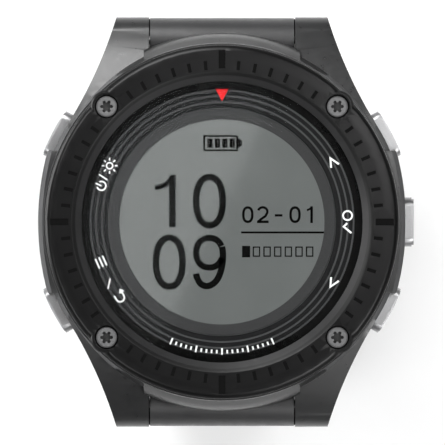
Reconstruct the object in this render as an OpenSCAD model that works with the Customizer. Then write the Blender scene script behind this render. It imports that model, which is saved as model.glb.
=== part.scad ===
// Golf GPS watch: round case with a screwed bezel, five side buttons, segment
// display, internal electronics and a two-piece strap with a tang buckle.
// Frame: origin at the centre of the back cover's flat outer face, +Z out of
// the display, +Y towards 12 o'clock, +X towards 3 o'clock. Millimetres.

/* [Case] */
// Radius of the round case at its widest
case_r = 23.0; // [22.8:0.1:23.2]
// Radius of the curved flare that runs from the case side into each lug
lug_flare_r = 54; // [50:1:58]
// Distance of each strap bar from the middle of the case
bar_y = 22.9; // [22.8:0.05:23.0]
// Height of the strap bars above the back cover
bar_z = 1.9; // [1.8:0.05:2.0]
// Radius of the rounded lug tips
lug_tip_r = 2.9; // [2.85:0.05:2.95]
// Clear width between the lugs
lug_gap = 18.4; // [18.2:0.1:18.6]

/* [Bezel] */
// Outer radius of the bezel ring
bezel_r = 22.1; // [22.0:0.05:22.15]
// Height of the bezel's top face
bezel_top = 12.1; // [12.0:0.05:12.2]
// Radius of the circle that the bezel screws sit on
screw_pcd_r = 20.36; // [20.3:0.01:20.4]
// Radius of the bezel screw heads
screw_head_r = 1.3; // [1.25:0.05:1.35]
// Angle between neighbouring minute marks, in degrees
mark_step = 6; // [6:1:6]

/* [Display] */
// Radius of the crystal
crystal_r = 17.9; // [17.8:0.05:17.9]
// Radius of the visible liquid crystal area's border
lcd_r = 14.3; // [14.1:0.1:14.3]
// Inner radius of the printed mask under the crystal
mask_in_r = 14.2; // [14.0:0.1:14.2]

/* [Buttons] */
// Height of the button axes above the back cover
button_z = 4.9; // [4.8:0.05:5.0]
// Distance of the buttons' outer faces from the case axis
button_face_r = 24.0; // [23.9:0.05:24.1]
// Length of a button along the case side
button_len = 6.2; // [6.0:0.1:6.4]
// Height of a button
button_h = 3.1; // [3.0:0.1:3.2]
// Travel of a button
button_travel = 0.6; // [0.5:0.05:0.6]

/* [Strap] */
// Width of the strap past the taper
strap_w = 20; // [19.6:0.1:20]
// Thickness of the strap
strap_t = 2.6; // [2.5:0.1:2.6]
// Number of adjustment holes in the tail half
hole_count = 8; // [6:1:8]
// Spacing of the adjustment holes
hole_pitch = 6; // [5.5:0.25:6]

/* [Hidden] */
$fn = 96;

// button angles from +X: power/light, menu/back, up, ok, down
A_POWER = 152;
A_MENU = 208;
A_UP = 28;
A_OK = 0;
A_DOWN = -28;
BUTTONS = [A_POWER, A_MENU, A_UP, A_OK, A_DOWN];

case_bot = 0.4;
case_top = 9.2;
cavity_r = 17.2;
flank_r = 34;
screw_xy = screw_pcd_r * sin(45);
// concave flare circles that shape the lugs, running into the case side at 32 degrees
flare_x = (case_r + lug_flare_r - 0.15) * cos(32);
flare_y = (case_r + lug_flare_r - 0.15) * sin(32);

// strap curves, in the plane across the wrist: buckle half at +Y, tail half at -Y
strap_y = bar_y + 2.8 - strap_t / 2 - 0.1; // middle of the strap's thickness on its straight part
bk_z = -20;   // where the buckle half starts to curl
bk_R = 19.5;  // radius of its curl
bk_y = strap_y - bk_R;
bk_end = -136; // angle at which its curl ends
tl_z = -41;   // where the tail half starts to bend
tl_R = 14;
tl_y = -strap_y + tl_R;
tl_bottom = tl_z - tl_R; // middle of the tail half's thickness on its flat part
tail_end = 26.8;

// buckle frame of reference: local y runs on from the strap's end, local z points outward
end_y = bk_y + bk_R * cos(bk_end);
end_z = bk_z + bk_R * sin(bk_end);
end_a = bk_end + 270;
bar_u = 2.1; // buckle bar axis in that frame

// ---------- helpers ----------

// a 2D shape drawn in (y, z) becomes a solid of width w centred on x = 0
module across(w) {
    rotate([90, 0, 90]) linear_extrude(height = w, center = true) children();
}

// a 2D shape drawn in (radius, x) is swept about an axis along X through (cy, cz)
module sweep_x(cy, cz, a0, a1) {
    translate([0, cy, cz]) rotate([90, 0, 90]) rotate([0, 0, a0])
        rotate_extrude(angle = a1 - a0) children();
}

module cyl_x(r, len, y = 0, z = 0) {
    translate([0, y, z]) rotate([0, 90, 0]) cylinder(r = r, h = len, center = true);
}

module ring(r_out, r_in, z0, z1) {
    translate([0, 0, z0]) difference() {
        cylinder(r = r_out, h = z1 - z0);
        translate([0, 0, -1]) cylinder(r = r_in, h = z1 - z0 + 2);
    }
}

module disc(r, z0, z1) {
    translate([0, 0, z0]) cylinder(r = r, h = z1 - z0);
}

// rounded rectangle without hull
module round_rect(w, h, r) {
    union() {
        square([w - 2 * r, h], center = true);
        square([w, h - 2 * r], center = true);
        for (sx = [-1, 1], sy = [-1, 1])
            translate([sx * (w / 2 - r), sy * (h / 2 - r)]) circle(r = r, $fn = 32);
    }
}

// places children with local x along the radius at angle a and z at the button axis
module at_button(a) {
    rotate([0, 0, a]) translate([0, 0, button_z]) children();
}

module radial_cyl(r, x0, x1) {
    translate([x0, 0, 0]) rotate([0, 90, 0]) cylinder(r = r, h = x1 - x0, $fn = 48);
}

// rounded rectangular block lying along local x
module radial_block(w, h, r, x0, x1) {
    translate([x0, 0, 0]) rotate([90, 0, 90]) linear_extrude(height = x1 - x0)
        round_rect(w, h, r);
}

module at_buckle() {
    translate([0, end_y, end_z]) rotate([end_a, 0, 0]) children();
}

// ---------- case ----------

// outline of the lugs seen along Z, waisted by a curved flare on each side
module lug_outline() {
    difference() {
        square([38.4, 2 * (bar_y + lug_tip_r + 0.5)], center = true);
        for (sx = [-1, 1], sy = [-1, 1])
            translate([sx * flare_x, sy * flare_y]) circle(r = lug_flare_r, $fn = 240);
        square([lug_gap, 80], center = true);
    }
}

// side profile of one lug pair at +Y, drawn in (y, z)
module lug_profile() {
    union() {
        intersection() {
            translate([8.96, -18]) circle(r = 27.12, $fn = 180);
            polygon([[10.2, 1.9], [22.9, -0.9], [bar_y, bar_z],
                [bar_y + 2.6 * cos(55), bar_z + 2.6 * sin(55)], [24.4, 12], [10.2, 12]]);
        }
        translate([bar_y, bar_z]) circle(r = lug_tip_r, $fn = 96);
    }
}

// barrel-shaped body profile drawn in (radius, z)
module body_profile() {
    intersection() {
        translate([case_r - 14, 4.9]) circle(r = 14, $fn = 96);
        polygon([[0, case_bot], [20.9, case_bot], [22.6, 1.7], [24, 3], [24, case_top], [0, case_top]]);
    }
}

// the same barrel shape at the flatter curve of the flanks
module flank_profile() {
    intersection() {
        translate([flank_r - 14, 4.9]) circle(r = 14, $fn = 96);
        polygon([[10, 1.2], [flank_r - 0.9, 1.2], [flank_r + 1, 3.1], [flank_r + 1, case_top - 0.15], [10, case_top - 0.15]]);
    }
}

module case_body() {
    color([0.30, 0.30, 0.31]) difference() {
        union() {
            rotate_extrude($fn = 128) body_profile();
            // fuller flanks between the buttons
            for (s = [-1, 1]) intersection() {
                translate([-s * (flank_r - 23.1), 0, 0]) rotate_extrude($fn = 128) flank_profile();
                translate([s * 21, 0, 4.9]) cube([9, 17.8, 20], center = true);
            }
            // lugs, outside the strap slot
            intersection() {
                union() {
                    across(60) lug_profile();
                    mirror([0, 1, 0]) across(60) lug_profile();
                }
                translate([0, 0, -3]) linear_extrude(height = 14) lug_outline();
            }
            // rounded collar between the lugs, over each strap end
            intersection() {
                rotate_extrude($fn = 128)
                    polygon([[15, 5.1], [23.7, 5.1], [23.7, 6.0], [23.45, 7.1], [22.95, 8.1], [22.2, case_top - 0.1], [15, case_top - 0.1]]);
                cube([lug_gap + 1.2, 60, 40], center = true);
            }
        }
        // recesses that the strap ends turn in
        for (s = [-1, 1]) cyl_x(lug_tip_r + 0.15, lug_gap, s * bar_y, bar_z);
        // blind holes for the strap bars
        for (s = [-1, 1]) cyl_x(0.55, lug_gap + 3.4, s * bar_y, bar_z);
        // back cover recess, opening, cavity, ledge and crystal seat
        disc(19.3, -3, 1.4);
        disc(15.5, 1, 3);
        disc(cavity_r, 2.6, 8.2);
        disc(16.5, 8, 10);
        ring(16.55, 15.95, 1.3, 1.9);
        // bezel screw inserts and back screw holes
        for (sx = [-1, 1], sy = [-1, 1]) {
            translate([sx * screw_xy, sy * screw_xy, 5.2]) cylinder(r = 1.15, h = 5, $fn = 48);
            rotate([0, 0, 45 + 45 * (sx + 1) + 90 * (sy + 1)])
                translate([17.9, 0, 1.2]) cylinder(r = 0.5, h = 3, $fn = 32);
        }
        // button pockets, spring wells, seal grooves and stem bores
        for (a = BUTTONS) at_button(a) {
            radial_block(button_len + 0.3, button_h + 0.3, 1.25, 21.5, 27);
            radial_cyl(1.65, 19.4, 22);
            radial_cyl(1.2, 18.0, 18.6);
            radial_cyl(0.86, 16, 22);
        }
    }
}

module bezel_ring() {
    color([0.10, 0.10, 0.105]) difference() {
        union() {
            rotate_extrude($fn = 180) polygon([[17.55, 11.15], [18.55, 11.95], [18.8, bezel_top],
                [21.4, bezel_top], [21.8, bezel_top - 0.18], [bezel_r - 0.03, bezel_top - 0.5], [bezel_r, bezel_top - 0.8],
                [bezel_r, case_top], [17.95, case_top], [17.95, 11.12], [17.55, 11.12]]);
            // screw ears, outside the inner slope only
            difference() {
                for (sx = [-1, 1], sy = [-1, 1]) translate([sx * screw_xy, sy * screw_xy, case_top]) {
                    cylinder(r = 2.05, h = bezel_top - case_top - 0.3);
                    translate([0, 0, bezel_top - case_top - 0.3]) cylinder(r1 = 2.05, r2 = 1.8, h = 0.3);
                }
                disc(19.3, 8, 13);
            }
        }
        disc(17.95, 8, 11.12);
        for (sx = [-1, 1], sy = [-1, 1]) translate([sx * screw_xy, sy * screw_xy, 0]) {
            translate([0, 0, 11.2]) cylinder(r = 1.5, h = 3, $fn = 64);
            translate([0, 0, 8]) cylinder(r = 0.78, h = 5, $fn = 48);
        }
        marks(0.16, 0.5);
    }
}

// minute and quarter marks: blocks from depth d below the bezel's top face to height u above it
module marks(d, u) {
    for (q = [0:3]) rotate([0, 0, 90 * q]) {
        translate([20.3, 0, bezel_top + (u - d) / 2]) cube([2.3, 0.86, u + d], center = true);
        for (i = [1:6], s = [-1, 1]) rotate([0, 0, s * i * mark_step])
            translate([19.6, 0, bezel_top + (u - d) / 2]) cube([1.15, 0.43, u + d], center = true);
    }
}

module bezel_mark_fill() {
    color([0.01, 0.01, 0.01]) marks(0.16, -0.05);
}

module bezel_screws() {
    color([0.45, 0.45, 0.46]) for (sx = [-1, 1], sy = [-1, 1]) translate([sx * screw_xy, sy * screw_xy, 0])
        difference() {
            union() {
                translate([0, 0, 11.2]) cylinder(r = screw_head_r, h = 0.6, $fn = 64);
                translate([0, 0, 11.8]) cylinder(r1 = screw_head_r, r2 = screw_head_r - 0.16, h = 0.14, $fn = 64);
                translate([0, 0, 5.6]) cylinder(r = 0.7, h = 5.8, $fn = 48);
            }
            // six-lobe recess
            translate([0, 0, 11.35]) {
                cylinder(r = 0.52, h = 2, $fn = 48);
                for (i = [0:5]) rotate([0, 0, 60 * i]) translate([0.6, 0, 0]) cylinder(r = 0.2, h = 2, $fn = 24);
            }
        }
}

module bezel_screw_inserts() {
    color([0.78, 0.62, 0.30]) for (sx = [-1, 1], sy = [-1, 1]) translate([sx * screw_xy, sy * screw_xy, 5.2])
        difference() {
            cylinder(r = 1.15, h = 4, $fn = 48);
            translate([0, 0, 0.4]) cylinder(r = 0.7, h = 5, $fn = 48);
            translate([0, 0, 1.8]) ring(1.3, 1.0, 0, 0.4);
        }
}

// ---------- display ----------

module crystal() {
    color([0.85, 0.88, 0.90, 0.3]) rotate_extrude($fn = 128)
        polygon([[0, 9.5], [crystal_r, 9.5], [crystal_r, 10.95], [crystal_r - 0.15, 11.1], [0, 11.1]]);
}

module crystal_gasket() {
    color([0.05, 0.05, 0.05]) ring(17.85, 16.6, case_top, 9.5);
}

module dial_mask() {
    color([0.03, 0.03, 0.03]) ring(16.55, mask_in_r, 9.42, 9.5);
}

module lcd_panel() {
    color([0.46, 0.48, 0.47]) union() {
        disc(lcd_r, 8.2, 9.2);
        // glass shelf that carries the display's contacts
        intersection() {
            disc(15.2, 8.2, 8.6);
            translate([0, -14, 8.4]) cube([14, 4, 1], center = true);
        }
    }
}

module light_guide() {
    color([0.9, 0.9, 0.88]) union() {
        disc(13.9, 7.5, 8.2);
        translate([0, 14.1, 7.85]) cube([6, 1.0, 0.7], center = true);
    }
}

module display_frame() {
    color([0.88, 0.88, 0.86]) difference() {
        ring(15.9, 14.35, 7.3, 9.3);
        translate([0, -14.2, 8]) cube([14.2, 4.4, 5], center = true);
        translate([0, 14.4, 7.6]) cube([6.2, 2, 1.3], center = true);
    }
}

module display_cable() {
    color([0.75, 0.45, 0.12]) union() {
        translate([0, -14.75, 7.3]) cube([9, 0.12, 1.8], center = true);
        translate([0, -14.05, 6.46]) cube([9, 1.52, 0.12], center = true);
    }
}

// ---------- electronics ----------

module main_board() {
    color([0.05, 0.25, 0.14]) difference() {
        disc(14.4, 5.6, 6.4);
        for (s = [-1, 1]) translate([s * 8, 10.4, 5]) cylinder(r = 0.6, h = 3, $fn = 32);
    }
}

module board_chips() {
    color([0.06, 0.06, 0.07]) union() {
        translate([-6.2, 1.5, 6.85]) cube([5.4, 5.4, 0.9], center = true);
        translate([-5.6, -6.2, 6.8]) cube([4.2, 3.4, 0.8], center = true);
        translate([0.2, -8.3, 6.75]) cube([3, 2.2, 0.7], center = true);
        translate([-2.0, 9.6, 6.75]) cube([3.2, 1.4, 0.7], center = true);
        for (i = [0:4]) translate([-10.4, -3 + 1.6 * i, 6.6]) cube([0.9, 0.5, 0.4], center = true);
        for (i = [0:4]) translate([4.4 + 1.4 * i, -8, 6.6]) cube([0.5, 0.9, 0.4], center = true);
    }
}

module shield_can() {
    color([0.75, 0.76, 0.77]) difference() {
        translate([5.6, 1.4, 6.85]) cube([10, 9, 0.9], center = true);
        translate([5.6, 1.4, 6.7]) cube([9.6, 8.6, 0.9], center = true);
        for (i = [-1:1], j = [-1:1]) translate([5.6 + 2.4 * i, 1.4 + 2.4 * j, 6]) cylinder(r = 0.35, h = 3, $fn = 24);
    }
}

// printed loop antenna on the 12 o'clock side of the display frame
module gps_antenna() {
    color([0.80, 0.48, 0.20]) rotate([0, 0, 55]) translate([0, 0, 7.4])
        rotate_extrude(angle = 70) translate([15.92, 0]) square([0.3, 0.72]);
}

module inner_frame() {
    color([0.16, 0.16, 0.17]) difference() {
        union() {
            ring(15.2, 14.45, 1.9, 7.25);
            disc(15.2, 1.5, 1.9);
            // posts that locate the board
            for (s = [-1, 1]) translate([s * 8, 10.4, 1.8]) cylinder(r = 0.55, h = 4.4, $fn = 32);
            // walls round the battery
            translate([-2.5, 9.55, 2.9]) cube([16, 0.5, 2.2], center = true);
            translate([-2.5, -9.55, 2.9]) cube([16, 0.5, 2.2], center = true);
        }
        for (a = BUTTONS) at_button(a) translate([14.6, 0, 0]) cube([3, 4.2, 2.6], center = true);
        // window for the charging contacts
        translate([0, -12.6, 1.7]) cube([12, 3.6, 1.2], center = true);
        translate([0, -14.8, 6.9]) cube([14.2, 2, 1.6], center = true);
    }
}

module battery() {
    color([0.70, 0.72, 0.74]) union() {
        translate([-2.5, 0, 3.5]) cube([16, 18, 3.0], center = true);
        translate([-2.5, 9.15, 3.5]) cube([15, 0.3, 1.0], center = true);
    }
}

module vibration_motor() {
    color([0.72, 0.72, 0.72]) union() {
        translate([9.7, 4.6, 1.95]) cylinder(r = 3.6, h = 2.0, $fn = 64);
        translate([9.7, 4.6, 3.9]) cylinder(r = 1.0, h = 0.15, $fn = 32);
    }
}

module button_switches() {
    color([0.25, 0.25, 0.26]) for (a = BUTTONS) at_button(a) union() {
        translate([14.2, 0, -0.05]) cube([1.6, 3.4, 1.5], center = true);
        translate([15.14, 0, 0]) cube([0.3, 1.4, 0.8], center = true);
    }
}

module button_seals() {
    color([0.06, 0.06, 0.06]) for (a = BUTTONS) at_button(a) difference() {
        radial_cyl(1.2, 18.0, 18.6);
        radial_cyl(0.83, 17, 20);
    }
}

// ---------- back ----------

module rear_cover() {
    color([0.62, 0.62, 0.63]) difference() {
        rotate_extrude($fn = 180) polygon([[0, 0], [17.0, 0], [18.9, 0.35], [19.2, 0.6], [19.2, 1.4], [0, 1.4]]);
        for (i = [0:3]) rotate([0, 0, 45 + 90 * i]) translate([17.9, 0, 0]) {
            translate([0, 0, -1]) cylinder(r = 1.12, h = 1.85, $fn = 48);
            translate([0, 0, -1]) cylinder(r = 0.55, h = 4, $fn = 32);
        }
        for (i = [0:3]) translate([-3.75 + 2.5 * i, -12.6, -1]) cylinder(r = 1.05, h = 4, $fn = 48);
        // shallow locating groove for the charging clip
        translate([0, 0, 0]) ring(9.6, 9.2, -1, 0.15);
    }
}

module rear_gasket() {
    color([0.05, 0.05, 0.05]) ring(16.55, 15.95, 1.4, 1.9);
}

module rear_screws() {
    color([0.55, 0.55, 0.56]) for (i = [0:3]) rotate([0, 0, 45 + 90 * i]) translate([17.9, 0, 0])
        difference() {
            union() {
                translate([0, 0, 0.3]) cylinder(r = 1.05, h = 0.55, $fn = 48);
                translate([0, 0, 0.8]) cylinder(r = 0.5, h = 3.0, $fn = 32);
            }
            for (r = [0, 90]) rotate([0, 0, r]) translate([0, 0, 0.35]) cube([1.3, 0.28, 0.5], center = true);
        }
}

module contact_block() {
    color([0.08, 0.08, 0.08]) difference() {
        union() {
            translate([0, -12.6, 1.65]) cube([11, 2.7, 0.5], center = true);
            for (i = [0:3]) translate([-3.75 + 2.5 * i, -12.6, 0.1]) cylinder(r = 1.05, h = 1.4, $fn = 48);
        }
        for (i = [0:3]) translate([-3.75 + 2.5 * i, -12.6, -1]) cylinder(r = 0.7, h = 5, $fn = 48);
    }
}

module charging_contacts() {
    color([0.86, 0.70, 0.32]) for (i = [0:3]) translate([-3.75 + 2.5 * i, -12.6, 0.05]) union() {
        cylinder(r = 0.7, h = 1.9, $fn = 48);
        translate([0, 0, 1.85]) cylinder(r = 1.0, h = 0.3, $fn = 48);
    }
}

// ---------- buttons ----------

module button(a) {
    color([0.60, 0.60, 0.61]) at_button(a) difference() {
        union() {
            intersection() {
                union() {
                    radial_block(button_len, button_h, 1.1, 22.35, button_face_r - 0.22);
                    radial_block(button_len - 0.44, button_h - 0.44, 0.88, 22.4, button_face_r + 0.04);
                }
                // every button but the middle one follows the case's round side
                cylinder(r = a == A_OK ? 30 : button_face_r + 0.04, h = 8, center = true, $fn = 180);
            }
            radial_cyl(0.8, 15.98, 22.6);
        }
        // groove for the retaining clip
        difference() {
            radial_cyl(1.0, 16.75, 17.15);
            radial_cyl(0.55, 16, 18);
        }
    }
}

module clip(a) {
    color([0.50, 0.50, 0.52]) at_button(a) difference() {
        radial_cyl(1.45, 16.8, 17.1);
        radial_cyl(0.56, 16, 18);
        translate([16.95, -1.2, 0]) cube([1, 2.4, 0.8], center = true);
    }
}

// compression spring round a button stem
spring_turns = 4;
spring_seg = 14;
spring_wire = 0.15;
spring_R = 1.25;
spring_x0 = 19.6;
spring_len = 2.55;
function spring_pt(i, k) =
    let (t = 360 * i / spring_seg, a = 60 * k,
        x = spring_x0 + spring_len * i / (spring_turns * spring_seg))
    [x + spring_wire * sin(a), (spring_R + spring_wire * cos(a)) * cos(t), (spring_R + spring_wire * cos(a)) * sin(t)];
module button_spring(a) {
    n = spring_turns * spring_seg;
    color([0.66, 0.66, 0.68]) at_button(a) polyhedron(
        points = [for (i = [0:n], k = [0:5]) spring_pt(i, k)],
        faces = concat(
            [for (i = [0:n - 1], k = [0:5]) [6 * i + k, 6 * i + (k + 1) % 6, 6 * (i + 1) + (k + 1) % 6]],
            [for (i = [0:n - 1], k = [0:5]) [6 * i + k, 6 * (i + 1) + (k + 1) % 6, 6 * (i + 1) + k]],
            [[for (k = [0:5]) 5 - k]], [[for (k = [0:5]) 6 * n + k]]),
        convexity = 6);
}

// ---------- strap ----------

module strap_bar(s) {
    color([0.62, 0.62, 0.63]) union() {
        difference() {
            cyl_x(0.9, 17.6, s * bar_y, bar_z);
            cyl_x(0.55, 18, s * bar_y, bar_z);
        }
        for (e = [-1, 1]) translate([e * 8.2, 0, 0]) cyl_x(0.5, 4.4, s * bar_y, bar_z);
        for (e = [-1, 1]) translate([e * 8.95, 0, 0]) cyl_x(0.8, 0.25, s * bar_y, bar_z);
    }
}

// half width of the strap seen from the end of the wrist, drawn in (x, z)
module strap_front(z_low) {
    pts = [[13.0, 3.2], [12.9, 0], [12.55, -2.5], [12.1, -5], [11.65, -7.5], [11.2, -10], [10.8, -12.5],
        [10.45, -15], [10.2, -17.5], [strap_w / 2, -20], [strap_w / 2, z_low]];
    polygon(concat(pts, [for (i = [len(pts) - 1:-1:0]) [-pts[i][0], pts[i][1]]]));
}

// straight upper part with its pivoting end, at +Y, down to z_low
module strap_root(z_low) {
    difference() {
        union() {
            cyl_x(lug_tip_r - 0.1, lug_gap - 0.3, bar_y, bar_z);
            // tongue between the lugs
            translate([0, strap_y, (bar_z - 4) / 2]) cube([lug_gap - 0.3, strap_t + 0.2, bar_z + 4], center = true);
            // body below the lugs
            difference() {
                intersection() {
                    translate([0, strap_y, (z_low + 1.9) / 2]) cube([40, strap_t, 1.9 - z_low], center = true);
                    rotate([90, 0, 0]) linear_extrude(height = 80, center = true) strap_front(z_low - 1);
                }
                cyl_x(lug_tip_r + 0.3, 40, bar_y, bar_z);
            }
        }
        cyl_x(0.96, 40, bar_y, bar_z);
    }
}

// strap cross-section drawn in (radius, x)
module strap_section(R) {
    c = 0.35;
    polygon([[R - strap_t / 2 + c, -strap_w / 2], [R + strap_t / 2 - c, -strap_w / 2], [R + strap_t / 2, -strap_w / 2 + c],
        [R + strap_t / 2, strap_w / 2 - c], [R + strap_t / 2 - c, strap_w / 2], [R - strap_t / 2 + c, strap_w / 2],
        [R - strap_t / 2, strap_w / 2 - c], [R - strap_t / 2, -strap_w / 2 + c]]);
}

module strap_buckle_half() {
    color([0.16, 0.16, 0.17]) difference() {
        union() {
            strap_root(bk_z);
            sweep_x(bk_y, bk_z, bk_end, 0) strap_section(bk_R);
            at_buckle() {
                cyl_x(2.0, 19.6, bar_u, 0);
                translate([0, bar_u / 2, 0]) cube([19.6, bar_u + 0.4, strap_t], center = true);
            }
        }
        at_buckle() {
            cyl_x(0.86, 30, bar_u, 0);
            // notch for the tang
            translate([0, 1.85, 0]) cube([2.8, 6.9, 8], center = true);
        }
    }
}

// rounded slot through the strap, long axis along local y
module hole_cut() {
    union() {
        translate([0, 0, 0]) cube([2.2, 1.2, 8], center = true);
        for (s = [-1, 1]) translate([0, s * 0.6, 0]) cylinder(r = 1.1, h = 8, center = true, $fn = 32);
    }
}

// distance along the tail half, from its bend start, of hole i counted from the tip
function hole_s(i) = 22.0 + (tail_end - tl_y) - 12 - i * hole_pitch;

module strap_tail_half() {
    bend = tl_R * PI / 2; // length of the bend
    color([0.16, 0.16, 0.17]) difference() {
        union() {
            mirror([0, 1, 0]) strap_root(tl_z);
            sweep_x(tl_y, tl_z, 180, 270) strap_section(tl_R);
            // flat part with a rounded tip
            intersection() {
                translate([0, (tl_y + tail_end) / 2, tl_bottom]) cube([strap_w, tail_end - tl_y, strap_t], center = true);
                translate([0, 0, tl_bottom - 5]) linear_extrude(height = 10) union() {
                    translate([0, (tl_y + tail_end - 13) / 2]) square([strap_w + 2, tail_end - 13 - tl_y + 0.5], center = true);
                    translate([0, tail_end - 13]) circle(r = 13, $fn = 120);
                }
            }
        }
        for (i = [0:hole_count - 1]) {
            s = hole_s(i) - 22.0;
            if (s > 0) translate([0, tl_y + s, tl_bottom]) hole_cut();
            else translate([0, tl_y, tl_z]) rotate([(s / bend) * 90, 0, 0]) translate([0, 0, -tl_R]) hole_cut();
        }
    }
}

// loop round the strap with room for the tail, from angle a0 to a1 on the curl
module keeper(a0, a1, w_clear) {
    sweep_x(bk_y, bk_z, a0, a1) difference() {
        translate([bk_R - strap_t / 2 - 1.1, -strap_w / 2 - w_clear - 1.1]) square([strap_t + 2.8 + 2.2, strap_w + 2 * w_clear + 2.2]);
        translate([bk_R - strap_t / 2 - w_clear, -strap_w / 2 - w_clear]) square([strap_t + 2.8 + w_clear, strap_w + 2 * w_clear]);
    }
}

module keeper_fixed() {
    color([0.16, 0.16, 0.17]) union() {
        keeper(-125, -110, 0.0);
    }
}

module keeper_free() {
    color([0.16, 0.16, 0.17]) keeper(-98, -83, 0.12);
}

module buckle_bar() {
    color([0.62, 0.62, 0.63]) at_buckle() cyl_x(0.8, 23.6, bar_u, 0);
}

module buckle_frame() {
    color([0.60, 0.60, 0.61]) at_buckle() difference() {
        union() {
            for (s = [-1, 1]) translate([s * 11.3, 0, 0]) {
                cyl_x(1.7, 1.9, bar_u, 0);
                across(1.9) polygon([[bar_u + 0.2, -1.65], [bar_u + 9.6, 0.1], [bar_u + 9.6, 2.5], [bar_u - 0.3, 1.65]]);
                cyl_x(1.2, 1.9, bar_u + 9.6, 1.3);
            }
            cyl_x(1.2, 24.4, bar_u + 9.6, 1.3);
        }
        cyl_x(0.83, 30, bar_u, 0);
    }
}

module buckle_tang() {
    color([0.62, 0.62, 0.63]) at_buckle() difference() {
        union() {
            cyl_x(1.5, 2.2, bar_u, 0);
            across(1.7) polygon([[bar_u + 0.6, 0.3], [bar_u + 3.2, 2.54], [bar_u + 10.4, 2.54], [bar_u + 10.8, 2.9],
                [bar_u + 10.4, 3.5], [bar_u + 3.0, 3.5], [bar_u - 0.9, 1.1]]);
        }
        cyl_x(0.83, 30, bar_u, 0);
    }
}

case_body();
bezel_ring();
bezel_mark_fill();
bezel_screws();
bezel_screw_inserts();
crystal();
crystal_gasket();
dial_mask();
lcd_panel();
light_guide();
display_frame();
display_cable();
main_board();
board_chips();
shield_can();
gps_antenna();
inner_frame();
battery();
vibration_motor();
button_switches();
button_seals();
rear_cover();
rear_gasket();
rear_screws();
contact_block();
charging_contacts();
strap_bar(1);  // strap_bar_12
strap_bar(-1);  // strap_bar_6
button(A_POWER);  // button_power_light
button(A_MENU);  // button_menu_back
button(A_UP);  // button_up
button(A_OK);  // button_ok
button(A_DOWN);  // button_down
clip(A_POWER);  // clip_power_light
clip(A_MENU);  // clip_menu_back
clip(A_UP);  // clip_up
clip(A_OK);  // clip_ok
clip(A_DOWN);  // clip_down
button_spring(A_POWER);  // spring_power_light
button_spring(A_MENU);  // spring_menu_back
button_spring(A_UP);  // spring_up
button_spring(A_OK);  // spring_ok
button_spring(A_DOWN);  // spring_down
strap_buckle_half();
keeper_fixed();
buckle_bar();
keeper_free();
buckle_frame();
buckle_tang();
strap_tail_half();
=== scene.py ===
import math
import bpy
import bmesh
from mathutils import Vector, Matrix


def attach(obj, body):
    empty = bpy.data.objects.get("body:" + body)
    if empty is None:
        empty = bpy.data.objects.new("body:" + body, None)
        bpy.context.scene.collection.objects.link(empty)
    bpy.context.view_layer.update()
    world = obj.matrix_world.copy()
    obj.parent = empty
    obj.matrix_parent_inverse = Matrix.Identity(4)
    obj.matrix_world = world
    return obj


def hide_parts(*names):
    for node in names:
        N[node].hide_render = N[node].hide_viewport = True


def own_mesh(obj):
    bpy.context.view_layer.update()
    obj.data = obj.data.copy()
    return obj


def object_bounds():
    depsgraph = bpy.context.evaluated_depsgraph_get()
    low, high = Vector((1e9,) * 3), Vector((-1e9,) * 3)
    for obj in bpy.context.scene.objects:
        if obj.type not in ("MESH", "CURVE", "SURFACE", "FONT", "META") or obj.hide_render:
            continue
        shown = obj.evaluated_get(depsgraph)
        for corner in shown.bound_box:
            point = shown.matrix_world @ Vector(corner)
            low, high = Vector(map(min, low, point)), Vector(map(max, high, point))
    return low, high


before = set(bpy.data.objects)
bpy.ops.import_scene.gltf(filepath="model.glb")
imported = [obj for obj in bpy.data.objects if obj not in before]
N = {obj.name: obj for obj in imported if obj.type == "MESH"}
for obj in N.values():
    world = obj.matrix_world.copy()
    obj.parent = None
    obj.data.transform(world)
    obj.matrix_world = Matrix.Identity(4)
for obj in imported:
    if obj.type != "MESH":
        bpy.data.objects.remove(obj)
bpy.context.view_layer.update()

MM = 0.001

scene = bpy.context.scene
scene.view_settings.view_transform = "Standard"
scene.view_settings.look = "None"


# ------------------------------------------------------------------ camera
PX = 0.1256 * MM            # one picture element at the case's widest level
cam_data = bpy.data.cameras.new("camera")
cam_data.type = "PERSP"
cam_data.sensor_width = 36.0
cam_data.lens = 36.0 * 1.0 / (445 * PX)
cam_data.clip_start = 0.01
cam_data.clip_end = 50.0
camera = bpy.data.objects.new("camera", cam_data)
camera.location = (0.5 * PX, -0.5 * PX, 1.0049)
scene.collection.objects.link(camera)
scene.camera = camera


# ------------------------------------------------------------------ material helpers
def material(name):
    m = bpy.data.materials.new(name)
    m.use_nodes = True
    nt = m.node_tree
    return m, nt, nt.nodes["Principled BSDF"]


def node(nt, kind, **kw):
    n = nt.nodes.new(kind)
    for k, v in kw.items():
        setattr(n, k, v)
    return n


def objcoord(nt):
    return node(nt, "ShaderNodeTexCoord").outputs["Object"]


def scaled(nt, vec, s):
    m = node(nt, "ShaderNodeMapping")
    m.inputs["Scale"].default_value = s
    nt.links.new(vec, m.inputs["Vector"])
    return m.outputs["Vector"]


def noise(nt, vec, scale, detail=3.0, rough=0.55):
    n = node(nt, "ShaderNodeTexNoise")
    n.inputs["Scale"].default_value = scale
    n.inputs["Detail"].default_value = detail
    n.inputs["Roughness"].default_value = rough
    nt.links.new(vec, n.inputs["Vector"])
    return n.outputs["Fac"]


def voronoi(nt, vec, scale, feature="F1"):
    n = node(nt, "ShaderNodeTexVoronoi", feature=feature)
    n.inputs["Scale"].default_value = scale
    nt.links.new(vec, n.inputs["Vector"])
    return n.outputs["Distance"]


def ramp(nt, fac, stops):
    r = node(nt, "ShaderNodeValToRGB")
    e = r.color_ramp.elements
    while len(e) < len(stops):
        e.new(0.5)
    for el, (p, c) in zip(e, stops):
        el.position = p
        el.color = (c, c, c, 1) if not isinstance(c, (tuple, list)) else (*c, 1)
    nt.links.new(fac, r.inputs["Fac"])
    return r.outputs["Color"]


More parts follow.
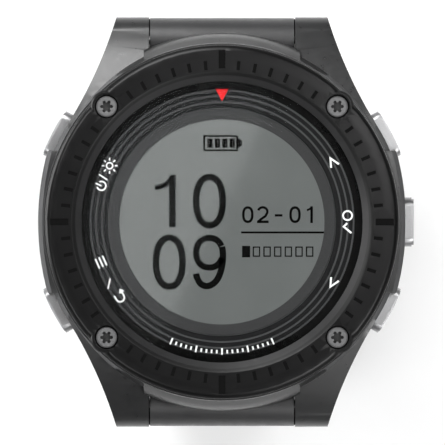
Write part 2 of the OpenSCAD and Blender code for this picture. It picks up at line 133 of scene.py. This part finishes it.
def remap(nt, fac, lo, hi, a=0.0, b=1.0):
    n = node(nt, "ShaderNodeMapRange")
    n.inputs["From Min"].default_value = a
    n.inputs["From Max"].default_value = b
    n.inputs["To Min"].default_value = lo
    n.inputs["To Max"].default_value = hi
    nt.links.new(fac, n.inputs["Value"])
    return n.outputs["Result"]


def maths(nt, op, a, b=None):
    n = node(nt, "ShaderNodeMath", operation=op)
    for i, v in enumerate((a, b)):
        if v is None:
            continue
        if isinstance(v, (int, float)):
            n.inputs[i].default_value = v
        else:
            nt.links.new(v, n.inputs[i])
    return n.outputs[0]


def bump(nt, bsdf, height, dist, strength=1.0, prev=None):
    b = node(nt, "ShaderNodeBump")
    b.inputs["Strength"].default_value = strength
    b.inputs["Distance"].default_value = dist
    nt.links.new(height, b.inputs["Height"])
    if prev is not None:
        nt.links.new(prev, b.inputs["Normal"])
    nt.links.new(b.outputs["Normal"], bsdf.inputs["Normal"])
    return b.outputs["Normal"]


def polar(nt, vec, kr, ka, kz):
    """(radius, angle, height) about the watch's axis, each with its own scale."""
    s = node(nt, "ShaderNodeSeparateXYZ")
    nt.links.new(vec, s.inputs[0])
    x, y, z = s.outputs
    r = maths(nt, "SQRT", maths(nt, "ADD", maths(nt, "MULTIPLY", x, x), maths(nt, "MULTIPLY", y, y)))
    a = maths(nt, "ARCTAN2", y, x)
    c = node(nt, "ShaderNodeCombineXYZ")
    nt.links.new(maths(nt, "MULTIPLY", r, kr), c.inputs[0])
    nt.links.new(maths(nt, "MULTIPLY", a, ka), c.inputs[1])
    nt.links.new(maths(nt, "MULTIPLY", z, kz), c.inputs[2])
    return c.outputs[0]


def grained(name, dark, light, rough=(0.35, 0.5), grain=9000.0, grain_d=0.000012, patch=260.0, metallic=0.0, spec=0.5):
    """Moulded or blasted surface: fine grain and slow colour and gloss variation."""
    m, nt, b = material(name)
    v = objcoord(nt)
    slow = noise(nt, v, patch, 4.0, 0.6)
    nt.links.new(ramp(nt, slow, [(0.3, dark), (0.7, light)]), b.inputs["Base Color"])
    nt.links.new(remap(nt, noise(nt, v, patch * 5, 3.0, 0.7), rough[0], rough[1], 0.3, 0.7), b.inputs["Roughness"])
    b.inputs["Metallic"].default_value = metallic
    b.inputs["Specular IOR Level"].default_value = spec
    bump(nt, b, noise(nt, v, grain, 2.0, 0.6), grain_d, 0.6)
    return m


def brushed(name, dark, light, rough=(0.22, 0.38), along="polar", metallic=1.0, k=1.0, depth=0.000006, spec=0.5):
    """Metal with drawn lines: round the watch's axis, or along X, Y or Z."""
    m, nt, b = material(name)
    v = objcoord(nt)
    if along == "polar":
        u = polar(nt, v, 16000.0 * k, 3.0, 9000.0 * k)
    else:
        s = {"x": (220, 16000, 16000), "y": (16000, 220, 16000), "z": (16000, 16000, 220)}[along]
        u = scaled(nt, v, tuple(q * k for q in s))
    lines = noise(nt, u, 1.0, 4.0, 0.65)
    slow = noise(nt, v, 320.0, 3.0, 0.6)
    mix = maths(nt, "ADD", maths(nt, "MULTIPLY", lines, 0.7), maths(nt, "MULTIPLY", slow, 0.3))
    nt.links.new(ramp(nt, mix, [(0.3, dark), (0.7, light)]), b.inputs["Base Color"])
    nt.links.new(remap(nt, mix, rough[0], rough[1], 0.3, 0.7), b.inputs["Roughness"])
    b.inputs["Metallic"].default_value = metallic
    b.inputs["Specular IOR Level"].default_value = spec
    bump(nt, b, lines, depth, 0.5)
    return m


# ------------------------------------------------------------------ materials
M = {}
M["case"] = grained("case_polymer_look", (0.011, 0.0112, 0.0115), (0.016, 0.0162, 0.0166), rough=(0.27, 0.34), grain=7000, grain_d=0.000005, spec=0.6)
M["bezel"] = brushed("bezel_metal_look", (0.0015, 0.0015, 0.0016), (0.0027, 0.0027, 0.0028), rough=(0.27, 0.35), metallic=0.0, k=0.7, depth=0.0000012, spec=0.21)
M["enamel"] = grained("black_fill_look", (0.0008, 0.0008, 0.0008), (0.0014, 0.0014, 0.0014), rough=(0.55, 0.66), grain=9000, spec=0.06)
# painted light: the bezel's inner slope gets this lighter copy of the bezel's dark colour, standing in for the light
# the slope catches
M["bezel_slope"] = grained("bezel_slope_look", (0.010, 0.010, 0.0103), (0.015, 0.015, 0.0154), rough=(0.38, 0.46), grain=9000, grain_d=0.000003, spec=0.30)
# painted light: the case flanks get this lighter, glossless copy of the case colour, standing in for the light they
# catch
M["case_side"] = grained("case_side_look", (0.080, 0.0805, 0.082), (0.104, 0.1045, 0.106), rough=(0.60, 0.72), grain=7000, grain_d=0.000006, spec=0.0)
# painted shade: the screw slots and the faces below the head's top get this darker copy of the screw steel
M["recess"] = grained("screw_recess_look", (0.022, 0.022, 0.022), (0.040, 0.040, 0.040), rough=(0.5, 0.6), grain=9000, spec=0.1)
M["screw"] = brushed("screw_steel_look", (0.075, 0.075, 0.076), (0.120, 0.120, 0.122), rough=(0.44, 0.56), along="x", k=0.8, metallic=0.2, spec=0.3)
M["steel"] = brushed("button_steel_look", (0.27, 0.27, 0.274), (0.40, 0.40, 0.405), rough=(0.30, 0.44), along="z", k=0.8)
M["bar"] = brushed("bar_steel_look", (0.30, 0.30, 0.305), (0.46, 0.46, 0.465), rough=(0.24, 0.36), along="x")
M["buckle"] = brushed("buckle_steel_look", (0.17, 0.17, 0.174), (0.27, 0.27, 0.274), rough=(0.28, 0.42), along="x", k=0.8)
M["cover"] = brushed("cover_steel_look", (0.28, 0.28, 0.285), (0.42, 0.42, 0.425), rough=(0.28, 0.42), along="polar", k=0.8)
M["brass"] = brushed("insert_brass_look", (0.50, 0.36, 0.13), (0.66, 0.50, 0.20), rough=(0.25, 0.38), along="z")
M["gold"] = brushed("contact_gold_look", (0.70, 0.50, 0.16), (0.85, 0.65, 0.25), rough=(0.16, 0.26), along="z")
M["copper"] = brushed("antenna_copper_look", (0.55, 0.28, 0.12), (0.72, 0.40, 0.20), rough=(0.25, 0.40), along="polar")
M["tin"] = brushed("can_steel_look", (0.45, 0.45, 0.46), (0.62, 0.62, 0.63), rough=(0.20, 0.34), along="x")
M["spring"] = brushed("spring_steel_look", (0.35, 0.35, 0.36), (0.50, 0.50, 0.51), rough=(0.2, 0.3), along="x")
M["foil"] = grained("battery_foil_look", (0.45, 0.46, 0.48), (0.60, 0.61, 0.63), rough=(0.25, 0.45), grain=1500, grain_d=0.00004, metallic=0.9)
M["seal"] = grained("seal_rubber_look", (0.0022, 0.0022, 0.0022), (0.0044, 0.0044, 0.0044), rough=(0.6, 0.75), spec=0.06)
M["frame"] = grained("frame_plastic_look", (0.020, 0.020, 0.022), (0.034, 0.034, 0.036), rough=(0.45, 0.6))
M["white"] = grained("white_plastic_look", (0.62, 0.62, 0.60), (0.72, 0.72, 0.70), rough=(0.35, 0.5))
M["chip"] = grained("chip_black_look", (0.012, 0.012, 0.013), (0.022, 0.022, 0.024), rough=(0.4, 0.55))
M["film"] = grained("flex_film_look", (0.45, 0.20, 0.03), (0.60, 0.30, 0.05), rough=(0.25, 0.4))
M["board"] = grained("board_green_look", (0.010, 0.070, 0.030), (0.016, 0.100, 0.045), rough=(0.25, 0.4), grain=5000)
M["guide"] = grained("clear_plastic_look", (0.55, 0.58, 0.55), (0.65, 0.68, 0.65), rough=(0.1, 0.25))


def strap_material():
    """Soft-touch rubber: fine matt grain, a faint dusty bloom and tiny specks."""
    m, nt, b = material("strap_rubber_look")
    v = objcoord(nt)
    slow = noise(nt, v, 140.0, 5.0, 0.62)
    specks = voronoi(nt, v, 3200.0)
    col = ramp(nt, slow, [(0.25, (0.012, 0.012, 0.0125)), (0.55, (0.016, 0.016, 0.0168)), (0.8, (0.021, 0.021, 0.022))])
    nt.links.new(col, b.inputs["Base Color"])
    nt.links.new(remap(nt, noise(nt, v, 900.0, 4.0, 0.7), 0.36, 0.52, 0.3, 0.7), b.inputs["Roughness"])
    b.inputs["Specular IOR Level"].default_value = 0.5
    b.inputs["Sheen Weight"].default_value = 0.12
    b.inputs["Sheen Roughness"].default_value = 0.5
    n1 = bump(nt, b, noise(nt, v, 5200.0, 3.0, 0.6), 0.000018, 0.7)
    bump(nt, b, specks, 0.000010, 0.4, n1)
    return m


M["strap"] = strap_material()


def lcd_material():
    """Reflective display: grey-green, a very fine cell grid and a soft gloss."""
    m, nt, b = material("lcd_glass_look")
    v = objcoord(nt)
    s = node(nt, "ShaderNodeSeparateXYZ")
    nt.links.new(v, s.inputs[0])
    fx = maths(nt, "PINGPONG", maths(nt, "MULTIPLY", s.outputs[0], 9000.0), 1.0)
    fy = maths(nt, "PINGPONG", maths(nt, "MULTIPLY", s.outputs[1], 9000.0), 1.0)
    grid = maths(nt, "MINIMUM", fx, fy)
    slow = noise(nt, v, 180.0, 3.0, 0.5)
    mix = maths(nt, "ADD", maths(nt, "MULTIPLY", grid, 0.25), maths(nt, "MULTIPLY", slow, 0.75))
    nt.links.new(ramp(nt, mix, [(0.2, (0.080, 0.085, 0.0835)), (0.8, (0.093, 0.098, 0.0965))]), b.inputs["Base Color"])
    nt.links.new(remap(nt, slow, 0.42, 0.55), b.inputs["Roughness"])
    b.inputs["Specular IOR Level"].default_value = 0.15
    b.inputs["Coat Weight"].default_value = 1.0
    b.inputs["Coat Roughness"].default_value = 0.03
    b.inputs["Coat IOR"].default_value = 1.30
    bump(nt, b, grid, 0.000002, 0.3)
    return m


M["lcd"] = lcd_material()


def crystal_material():
    """Coated mineral glass: see-through, with a weak sharp reflection and faint smudges."""
    m = bpy.data.materials.new("crystal_glass_look")
    m.use_nodes = True
    nt = m.node_tree
    nt.nodes.clear()
    out = node(nt, "ShaderNodeOutputMaterial")
    tr = node(nt, "ShaderNodeBsdfTransparent")
    tr.inputs["Color"].default_value = (0.985, 0.99, 0.988, 1)
    gl = node(nt, "ShaderNodeBsdfGlossy")
    gl.inputs["Color"].default_value = (0.95, 0.98, 1.0, 1)
    v = objcoord(nt)
    nt.links.new(remap(nt, noise(nt, v, 90.0, 4.0, 0.65), 0.02, 0.05, 0.35, 0.75), gl.inputs["Roughness"])
    lw = node(nt, "ShaderNodeLayerWeight")
    lw.inputs["Blend"].default_value = 0.5
    fr = maths(nt, "ADD", maths(nt, "MULTIPLY", maths(nt, "POWER", lw.outputs["Facing"], 5.0), 0.45), 0.002)
    mx = node(nt, "ShaderNodeMixShader")
    nt.links.new(fr, mx.inputs[0])
    nt.links.new(tr.outputs[0], mx.inputs[1])
    nt.links.new(gl.outputs[0], mx.inputs[2])
    nt.links.new(mx.outputs[0], out.inputs["Surface"])
    return m


M["crystal"] = crystal_material()


def ink(name, colour, rough=0.5, spec=0.2):
    m, nt, b = material(name)
    v = objcoord(nt)
    hi = tuple(min(1.0, c * 1.08 + 0.001) for c in colour)
    nt.links.new(ramp(nt, noise(nt, v, 6000.0, 2.0), [(0.3, colour), (0.7, hi)]), b.inputs["Base Color"])
    nt.links.new(remap(nt, noise(nt, v, 2500.0, 2.0), rough - 0.06, rough + 0.06), b.inputs["Roughness"])
    b.inputs["Specular IOR Level"].default_value = spec
    bump(nt, b, noise(nt, v, 9000.0, 2.0), 0.000001, 0.4)
    return m


M["ink_white"] = ink("ink_white_look", (0.70, 0.70, 0.70))
M["ink_red"] = ink("ink_red_look", (0.62, 0.006, 0.008))
M["ink_grey"] = ink("ink_grey_look", (0.036, 0.036, 0.037), 0.4)
M["segment"] = ink("segment_black_look", (0.0006, 0.0006, 0.0006), 0.6, 0.03)
M["mask"] = ink("mask_print_look", (0.0075, 0.0075, 0.0078), 0.5, 0.05)
M["surround"] = ink("surround_grey_look", (0.0265, 0.0265, 0.0272), 0.5, 0.1)

def darker_outside(m, r0, r1, share):
    """Scales a material's base colour down outside a radius (mm) about the watch's axis."""
    nt = m.node_tree
    b = next(n for n in nt.nodes if n.type == "BSDF_PRINCIPLED")
    s = node(nt, "ShaderNodeSeparateXYZ")
    nt.links.new(objcoord(nt), s.inputs[0])
    x, y, _ = s.outputs
    r = maths(nt, "SQRT", maths(nt, "ADD", maths(nt, "MULTIPLY", x, x), maths(nt, "MULTIPLY", y, y)))
    f = remap(nt, r, 1.0, share, r0 * MM, r1 * MM)
    v = node(nt, "ShaderNodeVectorMath", operation="SCALE")
    nt.links.new(b.inputs["Base Color"].links[0].from_socket, v.inputs[0])
    nt.links.new(f, v.inputs["Scale"])
    nt.links.new(v.outputs[0], b.inputs["Base Color"])


darker_outside(M["bezel_slope"], 18.28, 18.36, 0.20)

LOOK = {
    "case_body": "case", "bezel_ring": "bezel", "bezel_mark_fill": "enamel", "bezel_screws": "screw", "bezel_screw_inserts": "brass",
    "crystal": "crystal", "crystal_gasket": "seal", "lcd_panel": "lcd", "light_guide": "guide", "display_frame": "frame",
    "display_cable": "film", "main_board": "board", "board_chips": "chip", "shield_can": "tin", "gps_antenna": "copper",
    "inner_frame": "frame", "battery": "foil", "vibration_motor": "tin", "button_switches": "chip", "button_seals": "seal",
    "rear_cover": "cover", "rear_gasket": "seal", "rear_screws": "screw", "contact_block": "chip", "charging_contacts": "gold",
    "strap_bar_12": "bar", "strap_bar_6": "bar", "strap_buckle_half": "strap", "strap_tail_half": "strap", "keeper_fixed": "strap",
    "keeper_free": "strap", "buckle_bar": "bar", "buckle_frame": "buckle", "buckle_tang": "buckle", "dial_mask": "mask",
}
for n in N:
    if n.startswith("button_") and n not in LOOK:
        LOOK[n] = "steel"
    if n.startswith("clip_"):
        LOOK[n] = "bar"
    if n.startswith("spring_"):
        LOOK[n] = "spring"
for n, k in LOOK.items():
    me = N[n].data
    me.materials.clear()
    me.materials.append(M[k])


def second(name, mat, test):
    """Gives the faces that pass the test a second material; centre in mm and normal are handed over."""
    me = N[name].data
    me.materials.append(mat)
    for p in me.polygons:
        if test(p.center / MM, p.normal):
            p.material_index = 1


# painted light on the bezel's inner slope: its faces take the lighter copy of the bezel colour
second("bezel_ring", M["bezel_slope"], lambda c, n: math.hypot(c.x, c.y) < 18.79 and c.z > 11.1 and n.z > 0.05)
# painted shade in the bezel screws' slots and walls
second("bezel_screws", M["recess"], lambda c, n: c.z < 11.78 or (n.z < 0.5 and math.hypot(abs(c.x) - 14.397, abs(c.y) - 14.397) < 0.95))
# painted light on the case flanks: side faces take the lighter copy of the case colour
second("case_body", M["case_side"], lambda c, n: abs(n.z) < 0.40 and math.hypot(c.x, c.y) > 20.0 and abs(c.y) < 18.5)


# ------------------------------------------------------------------ rounded edges on the CAD pieces
def soften(name, width, seg=3, angle=30.0):
    o = N[name]
    me = o.data
    if "custom_normal" in me.attributes:
        me.attributes.remove(me.attributes["custom_normal"])
    for p in me.polygons:
        p.use_smooth = True
    w = o.modifiers.new("weld", "WELD")
    w.merge_threshold = 0.0000015
    b = o.modifiers.new("round", "BEVEL")
    b.width = width * MM
    b.segments = seg
    b.limit_method = "ANGLE"
    b.angle_limit = math.radians(angle)
    b.use_clamp_overlap = True
    b.miter_outer = "MITER_ARC"
    n = o.modifiers.new("normals", "WEIGHTED_NORMAL")
    n.keep_sharp = False
    n.weight = 80


soften("case_body", 0.35, 4)
soften("bezel_ring", 0.08, 2)
soften("bezel_screws", 0.05, 2)
soften("crystal", 0.05, 2)
soften("rear_cover", 0.08, 2)
soften("rear_screws", 0.05, 2)
for n in N:
    if n.startswith("button_") and n not in ("button_switches", "button_seals"):
        soften(n, 0.12, 3)
for n in ("strap_buckle_half", "strap_tail_half"):
    soften(n, 0.35, 3)
for n in ("keeper_fixed", "keeper_free"):
    soften(n, 0.3, 3)
soften("buckle_frame", 0.2, 3)
soften("buckle_tang", 0.15, 3)
soften("buckle_bar", 0.08, 2)


# ------------------------------------------------------------------ mesh helpers
def piece(name, verts, faces, mat, body="case", smooth=False):
    me = bpy.data.meshes.new(name)
    me.from_pydata([tuple(v) for v in verts], [], faces)
    me.update()
    o = bpy.data.objects.new(name, me)
    scene.collection.objects.link(o)
    me.materials.append(mat)
    for p in me.polygons:
        p.use_smooth = smooth
    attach(o, body)
    return o


def lathe(name, prof, mat, seg=240, body="case"):
    """Closed profile [(radius, z)] in mm turned about the watch's axis."""
    verts, faces, n = [], [], len(prof)
    for i in range(seg):
        a = 2 * math.pi * i / seg
        for r, z in prof:
            verts.append((r * math.cos(a) * MM, r * math.sin(a) * MM, z * MM))
    for i in range(seg):
        j = (i + 1) % seg
        for k in range(n):
            l = (k + 1) % n
            faces.append((i * n + k, j * n + k, j * n + l, i * n + l))
    return piece(name, verts, faces, mat, body)


def pxy(p):
    return ((p[0] - 222.0) * PX, (222.0 - p[1]) * PX)


class Flat:
    """Collects flat shapes drawn in picture units and turns them into one thin solid piece."""

    def __init__(self):
        self.v, self.f = [], []

    def ribbon(self, pts, width, closed=False, caps=True):
        pts = [Vector(p) for p in pts]
        n = len(pts)
        left, right = [], []
        for i, p in enumerate(pts):
            if closed:
                a, b = pts[i - 1], pts[(i + 1) % n]
            else:
                a, b = pts[max(i - 1, 0)], pts[min(i + 1, n - 1)]
            t1 = (p - a).normalized() if (p - a).length > 1e-6 else (b - p).normalized()
            t2 = (b - p).normalized() if (b - p).length > 1e-6 else t1
            t = (t1 + t2).normalized()
            nrm = Vector((-t.y, t.x))
            c = max(0.5, nrm.dot(Vector((-t1.y, t1.x))))
            w = (width[i] if isinstance(width, (list, tuple)) else width) / 2 / c
            left.append(p + nrm * w)
            right.append(p - nrm * w)
        base = len(self.v)
        for l, r in zip(left, right):
            self.v += [pxy(l), pxy(r)]
        m = n if closed else n - 1
        for i in range(m):
            j = (i + 1) % n
            self.f.append((base + 2 * i, base + 2 * i + 1, base + 2 * j + 1, base + 2 * j))

    def poly(self, pts):
        base = len(self.v)
        self.v += [pxy(p) for p in pts]
        self.f.append(tuple(range(base, base + len(pts))))

    def disc(self, c, r, seg=24):
        self.poly([(c[0] + r * math.cos(2 * math.pi * i / seg), c[1] + r * math.sin(2 * math.pi * i / seg)) for i in range(seg)])

    def build(self, name, z0, z1, mat):
        bm = bmesh.new()
        vs = [bm.verts.new((x, y, z1 * MM)) for x, y in self.v]
        for f in self.f:
            bm.faces.new([vs[i] for i in f])
        bmesh.ops.recalc_face_normals(bm, faces=bm.faces)
        for f in bm.faces:
            if f.normal.z < 0:
                f.normal_flip()
        ret = bmesh.ops.extrude_face_region(bm, geom=list(bm.faces), use_keep_orig=True)
        lower = [g for g in ret["geom"] if isinstance(g, bmesh.types.BMVert)]
        for v in lower:
            v.co.z = z0 * MM
        bmesh.ops.recalc_face_normals(bm, faces=bm.faces)
        me = bpy.data.meshes.new(name)
        bm.to_mesh(me)
        bm.free()
        o = bpy.data.objects.new(name, me)
        scene.collection.objects.link(o)
        me.materials.append(mat)
        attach(o, "case")
        return o


def arc(c, rx, ry, a0, a1, n, power=2.0):
    """Points on a (super)ellipse, angles in degrees, clockwise on the picture from +x."""
    out = []
    for i in range(n):
        a = math.radians(a0 + (a1 - a0) * i / (n - 1))
        ca, sa = math.cos(a), math.sin(a)
        out.append((c[0] + rx * math.copysign(abs(ca) ** (2 / power), ca), c[1] + ry * math.copysign(abs(sa) ** (2 / power), sa)))
    return out


def place(pts, at, turn=0.0, s=1.0):
    """Moves a small drawing made round the origin to a place, turned and scaled."""
    c, d = math.cos(math.radians(turn)), math.sin(math.radians(turn))
    return [(at[0] + s * (x * c - y * d), at[1] + s * (x * d + y * c)) for x, y in pts]


# ------------------------------------------------------------------ the display
Z_LCD = 9.205
seg = Flat()


def zero(x0, y0, x1, y1, w):
    cx, cy = (x0 + x1) / 2, (y0 + y1) / 2
    pts = arc((cx, cy), (x1 - x0 - w) / 2, (y1 - y0 - w * 0.86) / 2, 0, 360, 61, 2.25)[:-1]
    seg.ribbon(pts, w, closed=True)


zero(193, 174.5, 226, 228, 6.6)
zero(153, 235, 186, 289, 6.6)
# one
seg.ribbon([(172.6, 175), (172.6, 227)], 6.6)
seg.ribbon([(171.5, 175.2), (169.6, 181.0), (165.0, 185.6), (155.2, 188.2)], [2.0, 4.4, 5.0, 5.0])
# nine
nine = arc((209.4, 252.6), 13.1, 14.8, 20, 335, 40, 2.15)
seg.ribbon(nine, 6.2)
tail9 = [(222.0, 246.6), (222.9, 253), (222.6, 262), (220.8, 271), (217.4, 279), (212.2, 284.2), (206.4, 285.8), (200.8, 283.6), (197.4, 278.2), (196.2, 273.4)]
smooth9 = []
for i in range(len(tail9) - 1):
    p0 = Vector(tail9[max(i - 1, 0)]); p1 = Vector(tail9[i]); p2 = Vector(tail9[i + 1]); p3 = Vector(tail9[min(i + 2, len(tail9) - 1)])
    for k in range(4):
        t = k / 4
        q = 0.5 * ((2 * p1) + (p2 - p0) * t + (2 * p0 - 5 * p1 + 4 * p2 - p3) * t * t + (-p0 + 3 * p1 - 3 * p2 + p3) * t ** 3)
        smooth9.append((q.x, q.y))
smooth9.append(tail9[-1])
seg.ribbon(smooth9, 6.4)
seg.build("lcd_time", Z_LCD, Z_LCD + 0.02, M["segment"])

seg = Flat()


def small_zero(x0, x1, y0=206.4, y1=223.0, w=2.5):
    cx, cy = (x0 + x1) / 2, (y0 + y1) / 2
    seg.ribbon(arc((cx, cy), (x1 - x0 - w) / 2, (y1 - y0 - w) / 2, 0, 360, 41, 2.4)[:-1], w, closed=True)


def small_one(x, y0=206.4, y1=223.0, w=2.5):
    seg.ribbon([(x, y0), (x, y1)], w)
    seg.ribbon([(x - 0.4, y0 + 0.6), (x - 1.6, y0 + 2.6), (x - 4.6, y0 + 3.9)], [1.0, 2.0, 2.0])


# the date as figures
small_zero(242, 253.4)
two = arc((262.6, 211.6), 4.6, 4.2, -165, 25, 14) + [(265.2, 216.2), (260.6, 219.4), (258.0, 221.8)]
seg.ribbon(two, 2.4)
seg.ribbon([(256.9, 221.8), (268.4, 221.8)], 2.5)
seg.ribbon([(274.6, 215.4), (282.2, 215.4)], 2.3)
small_zero(289, 300.4)
small_one(311.2)
seg.ribbon([(241, 232.4), (324.2, 232.4)], 1.9)
# seven small boxes for the days, the first one filled
for i in range(7):
    x = 242.0 + i * 10.6
    y0, y1 = 247.0, 256.0
    if i == 0:
        seg.poly([(x, y0 - 1.2), (x + 8.0, y0 - 1.2), (x + 8.0, y1 + 1.2), (x, y1 + 1.2)])
    else:
        seg.ribbon([(x + 0.6, y0), (x + 6.8, y0), (x + 6.8, y1), (x + 0.6, y1)], 1.2, closed=True)
# battery sign: outline, pole and four bars
seg.ribbon([(204.2, 136.4), (237.0, 136.4), (237.0, 150.6), (204.2, 150.6)], 1.9, closed=True)
seg.poly([(238.0, 138.6), (239.8, 138.6), (239.8, 140.6), (241.8, 140.6), (241.8, 146.4), (239.8, 146.4), (239.8, 148.4), (238.0, 148.4)])
for i in range(4):
    x = 207.4 + i * 7.4
    seg.poly([(x, 138.9), (x + 5.2, 138.9), (x + 5.2, 148.1), (x, 148.1)])
seg.build("lcd_signs", Z_LCD, Z_LCD + 0.02, M["segment"])

lathe("lcd_surround", [(12.82, 9.21), (14.2, 9.21), (14.2, 9.25), (12.86, 9.25), (12.82, 9.235)], M["surround"])

# printed ring under the crystal, with three fine raised steps
dial = lathe("dial_ring", [(14.25, 9.40), (16.59, 9.40), (16.59, 9.462), (16.57, 9.465), (16.30, 9.465), (16.28, 9.44),
                           (15.92, 9.44), (15.90, 9.465), (15.60, 9.465), (15.58, 9.44), (15.17, 9.44), (15.15, 9.465), (14.85, 9.465),
                           (14.83, 9.44), (14.30, 9.44), (14.25, 9.43)], M["mask"])
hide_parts("dial_mask")
for i, r in enumerate((15.0, 15.75, 16.45)):
    lathe("dial_line_%d" % (i + 1), [(r - 0.11, 9.466), (r + 0.11, 9.466), (r + 0.11, 9.472), (r - 0.11, 9.472)], M["ink_grey"])

Z_INK = 9.475
w = Flat()
# power sign, slash and sun
w.ribbon(arc((102.0, 186.0), 4.4, 4.4, 242, 528, 30), 1.5)
w.ribbon([(96.2, 183.4), (102.0, 186.0)], 1.5)
w.ribbon([(99.6, 174.6), (107.9, 180.1)], 1.4)
w.ribbon(arc((110.1, 166.0), 3.1, 3.1, 0, 360, 33)[:-1], 1.5, closed=True)
for i in range(8):
    a = math.radians(i * 45)
    w.ribbon([(110.1 + 5.1 * math.cos(a), 166.0 + 5.1 * math.sin(a)), (110.1 + 8.0 * math.cos(a), 166.0 + 8.0 * math.sin(a))], 1.4)
# menu sign (three lines), slash and return arrow
for k in (-3.9, 0.0, 3.9):
    w.ribbon(place([(-5.2, k), (5.2, k)], (101.6, 262.0), 66), 1.7)
w.ribbon(place([(0, -5.2), (0, 5.2)], (109.6, 283.4), -6 + 18), 1.4)
ret = arc((0, 0), 4.2, 4.2, -90, 90, 18) + [(-4.6, 4.2)]
w.ribbon(place([(-4.2, -4.2)] + ret, (120.6, 297.2), 58), 1.6)
w.poly(place([(-3.4, -7.4), (-3.4, -1.0), (-7.8, -4.2)], (120.6, 297.2), 58))
# up and down signs
w.ribbon([(330.6, 168.0), (329.9, 158.6), (338.4, 164.4)], 2.0)
w.ribbon([(330.6, 277.0), (329.9, 286.4), (338.4, 280.6)], 2.0)
# confirm sign: ring and tick, turned with the ring
w.ribbon(arc((347.0, 215.6), 4.5, 4.5, 0, 360, 37)[:-1], 1.7, closed=True)
w.ribbon(place([(-4.8, 0.4), (-1.4, 3.8), (5.0, -3.8)], (347.0, 228.0), 90), 1.9)
# printed scale at the foot of the dial, in place of lettering
for i in range(-10, 11):
    a = math.radians(90 - i * 2.3)
    r0, r1 = (125.6, 132.6) if i % 5 == 0 else (127.4, 131.0)
    w.ribbon([(222 + r0 * math.cos(a), 222 + r0 * math.sin(a)), (222 + r1 * math.cos(a), 222 + r1 * math.sin(a))], 1.7)
w.build("dial_signs", Z_INK, Z_INK + 0.012, M["ink_white"])

w = Flat()
w.poly([(215.2, 88.8), (228.8, 88.8), (222.0, 101.6)])
w.build("dial_index", Z_INK, Z_INK + 0.012, M["ink_red"])


# ------------------------------------------------------------------ return springs, one fixed coil per button
def coil(name, angle):
    """Same coil as the CAD spring, fixed to the case."""
    ca, sa = math.cos(math.radians(angle)), math.sin(math.radians(angle))
    turns, per, sides, wire, big, x0, length, z = 4, 24, 8, 0.15, 1.25, 19.6, 2.55, 4.9
    n = turns * per
    verts, faces = [], []
    for i in range(n + 1):
        t = 2 * math.pi * i / per
        for q in range(sides):
            b = 2 * math.pi * q / sides
            x = x0 + length * i / n + wire * math.sin(b)
            rr = big + wire * math.cos(b)
            y, h = rr * math.cos(t), rr * math.sin(t)
            verts.append(((x * ca - y * sa) * MM, (x * sa + y * ca) * MM, (z + h) * MM))
    for i in range(n):
        for q in range(sides):
            a, b = sides * i + q, sides * i + (q + 1) % sides
            faces.append((a, b, b + sides, a + sides))
    faces.append(tuple(reversed(range(sides))))
    faces.append(tuple(sides * n + q for q in range(sides)))
    o = piece("coil_" + name, verts, faces, M["spring"], smooth=True)
    bm = bmesh.new()
    bm.from_mesh(o.data)
    bmesh.ops.recalc_face_normals(bm, faces=bm.faces)
    bm.to_mesh(o.data)
    bm.free()
    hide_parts("spring_" + name)
    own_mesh(o)


for who, angle in (("power_light", 152.0), ("menu_back", 208.0), ("up", 28.0), ("ok", 0.0), ("down", -28.0)):
    coil(who, angle)


# ------------------------------------------------------------------ floor and light
z_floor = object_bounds()[0][2]
me = bpy.data.meshes.new("floor")
me.from_pydata([(-3, -3, z_floor), (3, -3, z_floor), (3, 3, z_floor), (-3, 3, z_floor)], [], [(0, 1, 2, 3)])
floor = bpy.data.objects.new("floor", me)
scene.collection.objects.link(floor)
fm, fnt, fb = material("floor_pale")
fnt.links.new(ramp(fnt, noise(fnt, objcoord(fnt), 12.0, 2.0), [(0.2, 0.92), (0.8, 0.95)]), fb.inputs["Base Color"])
fb.inputs["Roughness"].default_value = 0.9
fb.inputs["Specular IOR Level"].default_value = 0.1
me.materials.append(fm)

world = bpy.data.worlds.new("studio")
scene.world = world
world.use_nodes = True
wnt = world.node_tree
ws = node(wnt, "ShaderNodeSeparateXYZ")
wnt.links.new(node(wnt, "ShaderNodeTexCoord").outputs["Generated"], ws.inputs[0])
wnt.links.new(ramp(wnt, ws.outputs[2], [(0.10, 0.45), (0.50, 0.03)]), wnt.nodes["Background"].inputs["Color"])
wnt.nodes["Background"].inputs["Strength"].default_value = 1.0


def area(name, loc, target, size, power, size_y=None, colour=(1, 1, 1)):
    l = bpy.data.lights.new(name, "AREA")
    l.energy = power
    l.color = colour
    l.size = size
    if size_y:
        l.shape = "RECTANGLE"
        l.size_y = size_y
    o = bpy.data.objects.new(name, l)
    scene.collection.objects.link(o)
    o.location = loc
    d = Vector(target) - Vector(loc)
    o.rotation_euler = d.to_track_quat("-Z", "Y").to_euler()
    o.visible_camera = False
    return o


area("key", (-0.36, 0.34, 0.70), (0, 0, 0), 0.36, 3.1)
area("right_top", (0.37, 0.31, 0.70), (0, 0, 0), 0.36, 2.0)
area("right_low", (0.34, -0.36, 0.70), (0, 0, 0), 0.36, 3.6)
area("left_low", (-0.37, -0.32, 0.70), (0, 0, 0), 0.36, 2.1)
area("near", (0.044, 0.028, 0.200), (0.015, 0.010, 0.010), 0.034, 0.047)
area("side_box", (-0.026, 0.078, 0.064), (-0.026, 0.020, 0.006), 0.048, 0.072, 0.050)
area("side_low", (-0.60, 0.12, 0.04), (0, 0, 0), 0.50, 3.4, 0.18)
area("low_box", (0.050, -0.078, 0.064), (0.050, -0.020, 0.006), 0.080, 0.018, 0.050)
# card whose straight edge shows in the crystal as a slanting reflection
d = Vector((0.42, 0.908)).normalized()
nrm = Vector((-d.y, d.x))
h_t = 1.6
k = (1.0049 - 0.0111 + h_t) / (1.0049 - 0.0111)
wid, ln = 0.085, 0.14
c = Vector((1.4 * MM, 5.0 * MM)) * k + nrm * (wid / 2)
card = area("card", (c.x, c.y, 0.0111 + h_t), (c.x, c.y, 0), wid, 0.13, ln)
card.rotation_euler = (0, 0, math.atan2(-nrm.y, -nrm.x))
